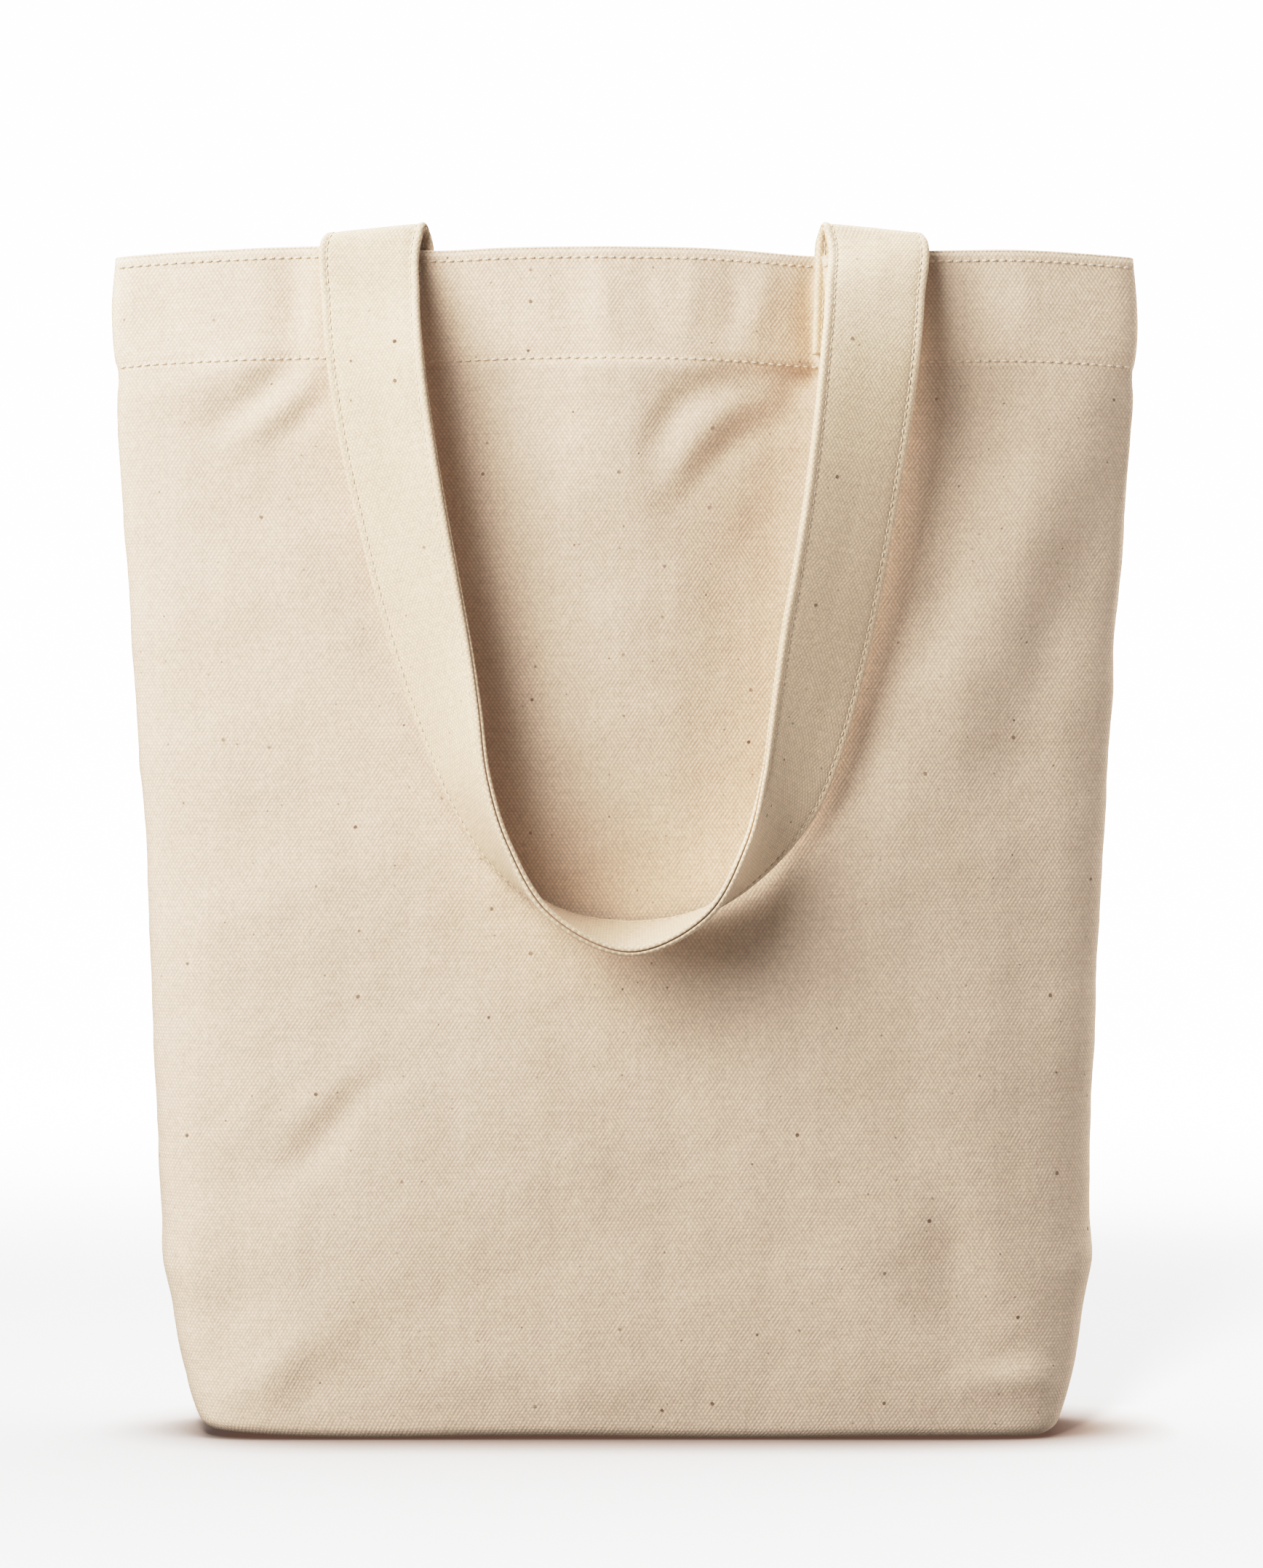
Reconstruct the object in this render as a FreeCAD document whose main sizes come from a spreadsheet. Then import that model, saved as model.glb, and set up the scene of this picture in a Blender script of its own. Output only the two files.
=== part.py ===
"""Canvas tote bag, millimetres.

The bag stands on its boxed bottom: +Z is up, the front wall faces -Y, left is -X.
The cloth shell is cut at its fold lines, so that each wall of the mouth can lean on its own
and each handle can swing. The back wall and back handle are the front ones turned half round.
"""

import FreeCAD, Part
import math
import os
import re

import Sketcher

V = FreeCAD.Vector
doc = FreeCAD.newDocument("tote_bag")

# ---------------------------------------------------------------- sizes

SIZES = [
    ("top_z", 433.0, "height of the hem's top edge"),
    ("knee_z", 65.0, "height where the boxed corner ends"),
    ("foot_gap", 0.6, "the walls hang this far above the floor"),
    ("base_half_w", 152.5, "half width of the boxed bottom"),
    ("knee_half_w", 171.0, "half width above the boxed corner"),
    ("top_half_w", 190.0, "half width at the mouth"),
    ("base_half_d", 38.0, "half depth of the boxed bottom"),
    ("top_half_d", 14.0, "half depth of the mouth at its middle"),
    ("knee_side_d", 15.0, "half depth of the side at the knee"),
    ("top_side_d", 4.5, "half depth of the side at the mouth"),
    ("base_flat_w", 140.0, "half width of the wall's flat middle at the floor"),
    ("top_flat_w", 130.0, "half width of the wall's flat middle at the mouth"),
    ("cloth_t", 0.8, "canvas"),
    ("skin_gap", 0.45, "gap between the walls and the gussets"),
    ("hem_h", 41.0, "depth of the turned hem"),
    ("hem_t", 1.6, "the two turned-in layers"),
    ("thread_w", 0.8, "width of a stitch row"),
    ("thread_t", 0.3, "thickness of a stitch row"),
    ("thread_gap", 0.12, "a stitch row clears the curved cloth under it"),
    ("top_row", 3.2, "top stitch row below the hem's edge"),
    ("seam_w", 10.0, "seam allowance"),
    ("seam_top_z", 390.0, "the side seam allowance ends under the hem"),
    ("strap_w", 37.0, "handle width"),
    ("strap_t", 3.0, "handle thickness, four layers"),
    ("strap_gap", 2.3, "handle centre in front of the wall's face"),
    ("tail_x", 90.0, "handle end, middle, from the bag's middle"),
    ("fold_x", 91.3, "middle of the bend over the hem"),
    ("tail_z", 395.0, "foot of the handle end"),
    ("leg_z", 437.0, "where the bend over the hem starts"),
    ("edge_row", 3.0, "handle stitch rows from the handle's edges"),
    ("box_w", 30.0, "box stitch width"),
    ("box_h", 31.0, "box stitch height"),
]

sheet = doc.addObject("Spreadsheet::Sheet", "Sizes")
size = {}
for row, (name, value, note) in enumerate(SIZES, start=1):
    sheet.set(f"A{row}", name)
    sheet.set(f"B{row}", str(value))
    sheet.setAlias(f"B{row}", name)
    sheet.set(f"C{row}", note)
    size[name] = value
doc.recompute()


def named(expression):
    """The expression with every size name pointing at the sheet."""
    return re.sub(r"[a-z_]{3,}", lambda word: f"<<Sizes>>.{word.group()}", expression)


def plane_of(body, role):
    """The body's own origin plane with this role."""
    return next(f for f in body.Origin.OriginFeatures if f.Role == role)


def new_body(label):
    body = doc.addObject("PartDesign::Body", label)
    body.Label = label
    return body


def polygon(body, name, role, corners, offset="0"):
    """A closed sketch whose every corner is bound to the sheet. Corners are (x, y) expressions."""
    sketch = body.newObject("Sketcher::SketchObject", name)
    sketch.AttachmentSupport = [(plane_of(body, role), "")]
    sketch.MapMode = "FlatFace"
    sketch.setExpression("AttachmentOffset.Base.z", named(offset))
    add_loop(sketch, corners)
    return sketch


def add_loop(sketch, corners):
    """Draw one closed loop of lines and tie its corners to the sketch's origin."""
    points = [V(float(sketch.evalExpression(named(x))), float(sketch.evalExpression(named(y))), 0)
              for x, y in corners]
    first = sketch.GeometryCount
    count = len(points)
    for i in range(count):
        sketch.addGeometry(Part.LineSegment(points[i], points[(i + 1) % count]))
    for i in range(count):
        sketch.addConstraint(Sketcher.Constraint("Coincident", first + i, 2, first + (i + 1) % count, 1))
    for i, (x, y) in enumerate(corners):
        for kind, expression, value in (("DistanceX", x, points[i].x), ("DistanceY", y, points[i].y)):
            index = sketch.addConstraint(Sketcher.Constraint(kind, -1, 1, first + i, 1, value))
            sketch.setExpression(f"Constraints[{index}]", named(expression))


def loft(body, sections):
    """A straight-sided loft through the sketches, in order."""
    feature = body.newObject("PartDesign::AdditiveLoft", "Loft")
    feature.Profile = sections[0]
    feature.Sections = sections[1:]
    feature.Ruled = True
    for section in sections:
        section.Visibility = False
    body.Tip = feature
    return body


def pad(body, sketch, length, both_ways=False):
    feature = body.newObject("PartDesign::Pad", "Pad")
    feature.Profile = sketch
    feature.setExpression("Length", named(length))
    feature.Midplane = both_ways
    sketch.Visibility = False
    body.Tip = feature
    return body


HALF_TURN = FreeCAD.Placement(V(0, 0, 0), FreeCAD.Rotation(V(0, 0, 1), 180))


# ---------------------------------------------------------------- the shell's outline

def blend(low, high, share):
    return f"({low} + ({high} - {low}) * ({share}))"


def outline(z):
    """Half width, flat half width, side depth and middle depth, as expressions, at a height expression
    between the knee and the mouth."""
    share = f"(({z}) - knee_z) / (top_z - knee_z)"
    middle = f"(base_half_d + (top_half_d - base_half_d) * ({z}) / top_z)"
    flat = f"(base_flat_w + (top_flat_w - base_flat_w) * ({z}) / top_z)"
    return blend("knee_half_w", "top_half_w", share), flat, blend("knee_side_d", "top_side_d", share), middle


def wall_section(shape, outer, inner, side_in="0"):
    """Eight corners of a band that follows the front wall, between two depths behind its face."""
    half, flat, side, middle = shape
    x_side = f"({half} - {side_in})"
    side = f"({side} + {side_in} * ({middle} - {side}) / ({half} - {flat}))"
    corners = []
    for depth, order in ((outer, (-2, -1, 1, 2)), (inner, (2, 1, -1, -2))):
        for step in order:
            sign = "-" if step < 0 else ""
            x = x_side if abs(step) == 2 else flat
            y = side if abs(step) == 2 else middle
            corners.append((f"{sign}({x})", f"-({y}) + ({depth})"))
    return corners


FOOT = ("base_half_w", "base_flat_w", "base_half_d", "base_half_d")
KNEE = outline("knee_z")


# ---------------------------------------------------------------- bottom, gussets and seams

bottom = doc.addObject("Part::Box", "bottom_panel")
bottom.Label = "bottom_panel"
bottom.setExpression("Length", named("2 * (base_half_w - cloth_t)"))
bottom.setExpression("Width", named("2 * (base_half_d - cloth_t - skin_gap)"))
bottom.setExpression("Height", named("cloth_t"))
bottom.setExpression("Placement.Base.x", named("-(base_half_w - cloth_t)"))
bottom.setExpression("Placement.Base.y", named("-(base_half_d - cloth_t - skin_gap)"))


def upright_strip(label, heights):
    """A loft of rectangles (z, x_low, x_high, half_depth), all expressions."""
    body = new_body(label)
    sections = []
    for i, (z, low, high, half_depth) in enumerate(heights):
        corners = [(low, f"-({half_depth})"), (high, f"-({half_depth})"), (high, half_depth), (low, half_depth)]
        sections.append(polygon(body, f"section_{i}", "XY_Plane", corners, z))
    return loft(body, sections)


def gusset(label):
    room = "cloth_t - skin_gap"
    return upright_strip(label, [
        ("0", "base_half_w - cloth_t", "base_half_w", f"base_half_d - {room}"),
        ("knee_z", "knee_half_w - cloth_t", "knee_half_w", f"knee_side_d - {room}"),
        ("top_z", "top_half_w - cloth_t", "top_half_w", f"top_side_d - {room}"),
    ])


def side_seam(label):
    heights = []
    for z in ("knee_z", "seam_top_z"):
        inner_face = f"{outline(z)[0]} - cloth_t"
        heights.append((z, f"{inner_face} - seam_w", inner_face, "cloth_t"))
    return upright_strip(label, heights)


def corner_seam(label):
    box = doc.addObject("Part::Box", label)
    box.Label = label
    box.setExpression("Length", named("seam_w"))
    box.setExpression("Width", named("2 * (base_half_d - 5 * cloth_t)"))
    box.setExpression("Height", named("2 * cloth_t"))
    box.setExpression("Placement.Base.x", named("base_half_w - cloth_t - seam_w - 0.1"))
    box.setExpression("Placement.Base.y", named("-(base_half_d - 5 * cloth_t)"))
    box.setExpression("Placement.Base.z", named("cloth_t"))
    return box


nodes = [bottom]
for make, name in ((gusset, "gusset"), (side_seam, "side_seam")):
    right = make(f"right_{name}")
    left = make(f"left_{name}")
    left.Placement = HALF_TURN
    nodes += [right, left]
nodes.append(corner_seam("right_corner_seam"))
left_corner = corner_seam("left_corner_seam")
left_corner.setExpression("Placement.Base.x", named("-(base_half_w - cloth_t - 0.1)"))
nodes.append(left_corner)


# ---------------------------------------------------------------- one wall: cloth, hem, rows, handle ends

def wall_panel(label):
    body = new_body(label)
    sections = []
    for i, (z, shape) in enumerate((("foot_gap", FOOT), ("knee_z", KNEE), ("top_z", outline("top_z")))):
        sections.append(polygon(body, f"section_{i}", "XY_Plane", wall_section(shape, "0", "cloth_t"), z))
    return loft(body, sections)


def wall_band(label, z_low, z_high, outer, inner, side_in="0"):
    """A band along the wall between two heights and two depths."""
    body = new_body(label)
    sections = []
    for i, z in enumerate((z_low, z_high)):
        corners = wall_section(outline(z), outer, inner, side_in)
        sections.append(polygon(body, f"section_{i}", "XY_Plane", corners, z))
    return loft(body, sections)


def hem(label):
    return wall_band(label, "top_z - hem_h", "top_z - 0.1", "cloth_t", "cloth_t + hem_t", "2.5")


def hem_row(label, z_middle):
    return wall_band(label, f"{z_middle} - thread_w / 2", f"{z_middle} + thread_w / 2", "-thread_t - thread_gap", "-thread_gap", "3")


def tail(label, side):
    """The flat end of the handle, behind the hem."""
    body = new_body(label)
    sections = []
    x = f"{side} * tail_x"
    for i, z in enumerate(("tail_z", "leg_z - 0.2")):
        face = f"-{outline(z)[3]} + cloth_t + hem_t + 0.05"
        corners = [
            (f"{x} - strap_w / 2", face),
            (f"{x} + strap_w / 2", face),
            (f"{x} + strap_w / 2", f"{face} + strap_t"),
            (f"{x} - strap_w / 2", f"{face} + strap_t"),
        ]
        sections.append(polygon(body, f"section_{i}", "XY_Plane", corners, z))
    return loft(body, sections)


LEAN = math.degrees(math.atan2(size["base_half_d"] - size["top_half_d"], size["top_z"]))


def box_stitch(label, side):
    """A square frame of stitching on the wall's face, over the handle's end."""
    body = new_body(label)
    outer = [("-box_w / 2", "-box_h / 2"), ("box_w / 2", "-box_h / 2"),
             ("box_w / 2", "box_h / 2"), ("-box_w / 2", "box_h / 2")]
    inner = [(f"{x} * (1 - 2 * thread_w / box_w)", f"{z} * (1 - 2 * thread_w / box_h)") for x, z in outer]
    sketch = polygon(body, "frame", "XZ_Plane", outer)
    add_loop(sketch, inner)
    pad(body, sketch, "thread_t")
    middle_z = size["top_z"] - size["hem_h"] / 2 + 0.6
    face_y = -size["base_half_d"] + (size["base_half_d"] - size["top_half_d"]) * middle_z / size["top_z"]
    body.Placement = FreeCAD.Placement(V(side * size["tail_x"], face_y, middle_z),
                                       FreeCAD.Rotation(V(1, 0, 0), -LEAN))
    return body


# the bend runs from the middle of the tail's thickness to the middle of the hanging leg's
LEG_FACE_Y = -size["base_half_d"] + (size["base_half_d"] - size["top_half_d"]) * size["leg_z"] / size["top_z"]
TAIL_Y = LEG_FACE_Y + size["cloth_t"] + size["hem_t"] + 0.05 + size["strap_t"] / 2
LEG_Y = LEG_FACE_Y - size["strap_gap"]


def fold(label, side):
    """The handle's bend over the hem: half of a thick tube lying along X."""
    parts = []
    for suffix, sign in (("outer", "+"), ("inner", "-")):
        tube = doc.addObject("Part::Cylinder", f"{label}_{suffix}")
        tube.setExpression("Radius", named(f"{(TAIL_Y - LEG_Y) / 2} {sign} strap_t / 2"))
        tube.setExpression("Height", named("strap_w"))
        tube.Angle = 180
        tube.Visibility = False
        parts.append(tube)
    cut = doc.addObject("Part::Cut", label)
    cut.Label = label
    cut.Base, cut.Tool = parts
    start = V(side * size["fold_x"] - size["strap_w"] / 2, (TAIL_Y + LEG_Y) / 2, size["leg_z"])
    cut.Placement = FreeCAD.Placement(start, FreeCAD.Rotation(V(1, 1, 1), 120))
    return cut


# ---------------------------------------------------------------- the handle's hanging loop

# Each station is the strap's outer edge and its inner edge, (x, y, z), from the left leg round the U to the
# right leg. The strap faces forward at the hem and turns until it lies level, edge on, at the foot of the U.
LOOP = [
    ((-111.0, -16.1, 436.6), (-74.0, -16.1, 436.6)),
    ((-110.2, -23.5, 412.5), (-73.2, -24.0, 414.5)),
    ((-107.5, -29.0, 386.0), (-71.7, -36.5, 391.0)),
    ((-103.0, -30.0, 359.0), (-69.0, -43.0, 366.0)),
    ((-97.0, -29.5, 332.5), (-65.0, -46.5, 338.5)),
    ((-91.0, -28.0, 306.0), (-61.2, -48.5, 312.0)),
    ((-83.5, -26.2, 280.0), (-57.3, -50.8, 288.5)),
    ((-73.5, -26.5, 254.5), (-53.2, -54.8, 264.5)),
    ((-62.5, -27.6, 230.0), (-49.6, -59.8, 239.5)),
    ((-47.5, -28.8, 208.0), (-42.3, -64.3, 216.0)),
    ((-25.5, -29.7, 192.0), (-26.8, -66.6, 191.5)),
    ((2.3, -30.0, 187.0), (2.2, -65.6, 177.5)),
    ((28.5, -29.9, 193.0), (29.5, -66.6, 190.5)),
    ((49.5, -29.1, 209.5), (43.5, -65.3, 215.5)),
    ((66.5, -28.4, 231.5), (49.8, -60.8, 240.5)),
    ((78.5, -29.3, 256.0), (52.8, -56.0, 262.5)),
    ((87.0, -32.8, 282.0), (56.0, -53.0, 287.0)),
    ((93.8, -36.4, 308.0), (59.6, -50.8, 313.0)),
    ((98.8, -39.0, 334.5), (63.7, -49.5, 340.0)),
    ((103.0, -39.8, 361.5), (67.0, -46.5, 366.5)),
    ((106.2, -36.2, 388.0), (70.0, -41.5, 392.5)),
    ((108.5, -27.2, 413.5), (72.3, -31.5, 417.5)),
    ((110.6, -16.1, 436.6), (73.6, -16.1, 436.6)),
]


STEPS = 3


def smooth_edge(points):
    """Points along a smooth curve through the stations, STEPS to each gap between two of them."""
    curve = Part.BSplineCurve()
    curve.interpolate([V(*p) for p in points], Parameters=[float(i) for i in range(len(points))])
    return [curve.value(i / STEPS) for i in range((len(points) - 1) * STEPS + 1)]


def loop_frames():
    """Middle, unit width direction and unit outward direction at each step along the loop."""
    outer_edge = smooth_edge([outer for outer, inner in LOOP])
    inner_edge = smooth_edge([inner for outer, inner in LOOP])
    middles = [(a + b) * 0.5 for a, b in zip(outer_edge, inner_edge)]
    last = len(middles) - 1
    frames = []
    for i, middle in enumerate(middles):
        along = middles[min(i + 1, last)] - middles[max(i - 1, 0)]
        if i in (0, last):
            along = V(0, 0, -1 if i == 0 else 1)
        across = (inner_edge[i] - outer_edge[i]).normalize()
        outward = along.cross(across).normalize()
        frames.append((middle, across, outward))
    return frames


def loop_band(label, across_low, across_high, out_low, out_high):
    """A band that follows the loop between two places across it and two out of its face."""
    wires = []
    for middle, across, outward in loop_frames():
        corners = [middle + across * a + outward * b
                   for a, b in ((across_low, out_low), (across_high, out_low),
                                (across_high, out_high), (across_low, out_high))]
        wires.append(Part.makePolygon(corners + corners[:1]))
    band = doc.addObject("Part::Feature", label)
    band.Label = label
    band.Shape = Part.makeLoft(wires, True, True)
    return band


def strap(label):
    half_w, half_t = size["strap_w"] / 2, size["strap_t"] / 2
    return loop_band(label, -half_w, half_w, -half_t, half_t)


def strap_row(label, side):
    """One row of edge stitching on the strap's outer face."""
    middle = side * (size["strap_w"] / 2 - size["edge_row"])
    half_t = size["strap_t"] / 2 + size["thread_gap"]
    return loop_band(label, middle - size["thread_w"] / 2, middle + size["thread_w"] / 2,
                     half_t, half_t + size["thread_t"])


# ---------------------------------------------------------------- both walls

LOWER_ROW = "top_z - hem_h + 0.8"
TOP_ROW = "top_z - top_row"


def wall(face, left, right):
    """Every piece of one wall and its handle. left and right name the -X and +X sides before any turn."""
    made = [
        wall_panel(f"{face}_panel"),
        hem(f"{face}_hem"),
        hem_row(f"{face}_hem_top_stitch", TOP_ROW),
        hem_row(f"{face}_hem_lower_stitch", LOWER_ROW),
        tail(f"{face}_{left}_tail", -1),
        tail(f"{face}_{right}_tail", 1),
        box_stitch(f"{face}_{left}_tail_stitch", -1),
        box_stitch(f"{face}_{right}_tail_stitch", 1),
        fold(f"{face}_{left}_fold", -1),
        fold(f"{face}_{right}_fold", 1),
        strap(f"{face}_handle_strap"),
        strap_row(f"{face}_handle_inner_stitch", 1),
        strap_row(f"{face}_handle_outer_stitch", -1),
    ]
    return made


nodes += wall("front", "left", "right")
for piece in wall("back", "right", "left"):
    piece.Placement = HALF_TURN.multiply(piece.Placement)
    nodes.append(piece)

doc.recompute()

# ---------------------------------------------------------------- check and write

for thing in doc.Objects:
    if "Invalid" in thing.State or "Error" in thing.State:
        raise RuntimeError(f"{thing.Label} did not build: {thing.State}")

os.makedirs("parts", exist_ok=True)
for node in nodes:
    shape = node.Shape
    if shape.isNull() or not shape.isValid() or shape.Volume <= 0:
        raise RuntimeError(f"{node.Label} is not a valid solid")
    shape.exportStep(f"parts/{node.Label}.step")
    box = shape.BoundBox
    print(f"{node.Label:28s} solids {len(shape.Solids)} volume {shape.Volume:10.1f} "
          f"x {box.XMin:7.1f} {box.XMax:7.1f} y {box.YMin:6.1f} {box.YMax:6.1f} z {box.ZMin:6.1f} {box.ZMax:6.1f}")
print(len(nodes), "nodes")
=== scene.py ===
"""A canvas tote bag on a pale studio floor. Shapes are worked out in millimetres and built in metres."""

import math

import bpy
import numpy as np
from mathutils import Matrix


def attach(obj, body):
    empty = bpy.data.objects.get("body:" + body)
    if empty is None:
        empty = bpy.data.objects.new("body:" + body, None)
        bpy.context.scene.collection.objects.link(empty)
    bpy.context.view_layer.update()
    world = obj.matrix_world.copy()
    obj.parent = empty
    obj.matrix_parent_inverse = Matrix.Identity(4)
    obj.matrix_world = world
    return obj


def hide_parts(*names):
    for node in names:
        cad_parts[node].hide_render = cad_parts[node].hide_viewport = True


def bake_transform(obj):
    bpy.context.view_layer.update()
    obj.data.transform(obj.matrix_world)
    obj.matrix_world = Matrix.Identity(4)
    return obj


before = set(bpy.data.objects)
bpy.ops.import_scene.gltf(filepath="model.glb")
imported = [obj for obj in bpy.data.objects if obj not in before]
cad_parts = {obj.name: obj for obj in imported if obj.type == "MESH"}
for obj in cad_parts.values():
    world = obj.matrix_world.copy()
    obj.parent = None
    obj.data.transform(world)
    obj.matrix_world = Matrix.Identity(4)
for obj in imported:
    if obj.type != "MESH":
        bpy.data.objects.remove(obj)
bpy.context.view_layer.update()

MM = 0.001
HEM_Z = 433.0       # the hem's top edge
HEM_H = 41.0        # depth of the turned hem
HALF_CLOTH = 190.0  # from the middle of a wall to its side seam, along the cloth
CLOTH_T = 0.8
ROLL = 4.0          # radius of the fold between a wall and the bottom
STRAP_W = 37.0
STRAP_T = 2.9
STITCH = 3.1        # stitch length and the gap after it
TUCK = 3.2          # how far the bag's left bottom corner is pushed in
LEAN = (38 - 14) / 433      # how much a wall leans in, for each millimetre up
BACK = np.array([-1, -1, 1])    # turns a direction half round, from the front of the bag to the back
# Each piece is cut from its own stretch of the cloth's pattern, so that no two show the same flecks.
BACK_PATTERN, BOTTOM_PATTERN, SEAM_PATTERN, STRAP_PATTERN, SECOND_STRAP = 900, 1800, 2500, 3200, 400


# ---------------------------------------------------------------- numbers along a curve

def smooth(x, knots):
    """A smooth curve through the (x, y) knots."""
    xs, ys = np.array(knots, float).T
    slopes = np.gradient(ys, xs)
    x = np.clip(x, xs[0], xs[-1])
    i = np.clip(np.searchsorted(xs, x, side="right") - 1, 0, len(xs) - 2)
    h = xs[i + 1] - xs[i]
    t = (x - xs[i]) / h
    return (ys[i] * (1 + 2 * t) * (1 - t) ** 2 + slopes[i] * h * t * (1 - t) ** 2
            + ys[i + 1] * t * t * (3 - 2 * t) + slopes[i + 1] * h * t * t * (t - 1))


def step(low, high, x):
    """0 below low, 1 above high, smooth in between."""
    t = np.clip((x - low) / (high - low), 0, 1)
    return t * t * (3 - 2 * t)


def bell(x, width):
    return np.exp(-(x / width) ** 2)


def waves(x, z, seed, size, count=14):
    """Gentle unevenness: a sum of plane waves about size long, from -1 to 1 or so."""
    rng = np.random.RandomState(seed)
    total = np.zeros(np.broadcast(x, z).shape)
    for _ in range(count):
        heading, length, phase = rng.uniform(0, math.pi), size * rng.uniform(0.6, 1.7), rng.uniform(0, 6.3)
        distance = x * math.cos(heading) + z * math.sin(heading)
        total += np.sin(distance * 2 * math.pi / length + phase)
    return total / math.sqrt(count)


# ---------------------------------------------------------------- the bag's shell

# The bag's half width and half depth at each height, and how square its section is there.
HALF_WIDTH = [(0, 155.6), (4, 158.4), (10, 160.8), (20, 163.6), (32, 166.3), (45, 168.6), (60, 170.4),
              (75, 171.4), (100, 171.9), (130, 172.7), (160, 174.0), (190, 175.8), (220, 177.2),
              (250, 178.9), (280, 181.0), (310, 183.3), (340, 185.7), (365, 187.7), (385, 188.8),
              (400, 189.8), (415, 190.3), (433, 189.6)]
HALF_DEPTH = [(0, 37.6), (65, 34.4), (150, 29.7), (231, 25.2), (320, 20.3), (400, 15.9), (433, 14.0)]
SQUARENESS = [(0, 9.0), (15, 6.5), (40, 5.0), (65, 4.2), (150, 3.5), (300, 3.2), (433, 3.0)]


def outline(z, share):
    """Point on the front half of the shell at height z. share is -1 at the left seam, 1 at the right one."""
    a, b, n = smooth(z, HALF_WIDTH), smooth(z, HALF_DEPTH), smooth(z, SQUARENESS)
    angle = np.linspace(-math.pi / 2, math.pi / 2, 721)
    x = np.sign(np.sin(angle)) * np.abs(np.sin(angle)) ** (2 / n) * a
    y = -np.abs(np.cos(angle)) ** (2 / n) * b
    run = np.concatenate([[0], np.cumsum(np.hypot(np.diff(x), np.diff(y)))])
    run = run / run[-1] * 2 - 1
    return np.interp(share, run, x), np.interp(share, run, y)


# Creases and soft ridges of the cloth: points (x, z) along it, half width, height (negative is a valley).
FRONT_FOLDS = [
    ([(-176, 384), (-155, 387), (-124, 398)], 8, 1.3),
    ([(-154, 368), (-144, 373), (-130, 384), (-116, 397)], 6, -1.9),
    ([(-140, 366), (-126, 374), (-112, 386)], 5, 1.0),
    ([(-128, 362), (-118, 370), (-108, 380)], 5, -1.2),
    ([(-172, 428), (-168, 412), (-158, 398)], 6, -0.9),
    ([(-112, 432), (-113, 412), (-112, 394)], 5, 1.3),
    ([(-124, 432), (-121, 412), (-124, 394)], 6, -2.0),
    ([(-22, 428), (-20, 412), (-14, 396)], 6, -0.9),
    ([(-8, 430), (-7, 412), (-3, 398)], 5, 1.2),
    ([(8, 430), (9, 414), (14, 400)], 5, -1.3),
    ([(24, 431), (25, 416), (22, 402)], 5, 1.4),
    ([(38, 431), (40, 414), (36, 400)], 5, -1.3),
    ([(52, 431), (51, 416), (47, 402)], 5, 1.3),
    ([(70, 434), (70, 412), (71, 394), (64, 386)], 6, -4.2),
    ([(66, 436), (66, 405), (64, 370), (62, 330), (59, 290), (54, 240)], 26, -4.8),
    ([(78, 436), (76, 404), (69, 384)], 21, -7.4),
    ([(10, 424), (6, 380), (4, 330), (4, 270)], 26, 3.0),
    ([(-6, 440), (-6, 400), (-8, 330), (-8, 240)], 38, 3.4),
    ([(107, 434), (107, 412), (106, 390)], 9, 1.5),
    ([(60, 389), (40, 386), (24, 379), (13, 366), (9, 352)], 6, -2.0),
    ([(52, 380), (38, 373), (27, 362), (20, 348)], 6, 1.6),
    ([(58, 372), (44, 366), (30, 354), (18, 340)], 6, -1.5),
    ([(52, 350), (40, 340), (30, 322)], 8, 0.8),
    ([(176, 392), (166, 372), (141, 311), (117, 256), (92, 208)], 17, 2.9),
    ([(186, 362), (170, 322), (152, 280), (138, 236)], 12, -1.8),
    ([(128, 430), (130, 412), (132, 398)], 6, -0.9),
    ([(146, 430), (147, 412), (144, 396)], 6, 1.1),
    ([(124, 405), (128, 370), (120, 320)], 12, -0.9),
    ([(-96, 136), (-112, 122), (-130, 108)], 6, 0.8),
    ([(-88, 132), (-106, 113), (-126, 91)], 6, -1.2),
    ([(-130, 124), (-142, 110), (-146, 92)], 7, 0.7),
    ([(-148, 8), (-134, 20), (-120, 32), (-100, 44)], 9, 1.2),
    ([(-122, 10), (-108, 22), (-90, 32)], 9, -0.5),
    ([(-150, 30), (-142, 60), (-142, 110)], 9, -0.8),
    ([(150, 28), (134, 31), (112, 44), (100, 58)], 7, -1.3),
    ([(118, 84), (120, 52), (134, 34)], 12, -2.3),
    ([(154, 18), (146, 22), (124, 20)], 6, 1.6),
    ([(140, 60), (128, 90), (124, 140)], 16, 1.2),
    ([(-60, 24), (0, 18), (70, 22)], 12, 0.8),
    ([(146, 238), (150, 180), (148, 110)], 14, -1.1),
]
BACK_FOLDS = [
    ([(-166, 368), (-140, 374), (-114, 398)], 8, -1.4),
    ([(60, 388), (30, 378), (12, 350), (4, 318)], 9, -1.7),
    ([(50, 376), (28, 350), (14, 318)], 10, 1.6),
    ([(172, 380), (150, 310), (128, 245)], 17, 2.3),
    ([(-150, 6), (-130, 26), (-108, 56)], 10, 1.7),
    ([(150, 30), (130, 36), (104, 56)], 8, -1.2),
    ([(-70, 150), (-100, 128), (-134, 112)], 11, 0.9),
]


# The hem's edge is not straight: (x, how far it stands above its nominal height).
FRONT_SAG = [(-190, -2.6), (-170, -1.3), (-148, -0.3), (-114, 0.8), (-68, -0.8), (-42, 0.3), (0, 0.5),
             (38, -0.3), (67, -2.2), (112, -0.8), (144, -0.3), (190, -2.6)]
BACK_SAG = [(-190, -3.0), (-90, -1.4), (0, -1.8), (90, -1.4), (190, -3.0)]


def sagged(points, sag):
    """The points with the hem's edge let down, less and less further below it."""
    lower = smooth(points[..., 0], sag) * step(300, 425, points[..., 2])
    return points + lower[..., None] * np.array([0, 0, 1])


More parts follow.
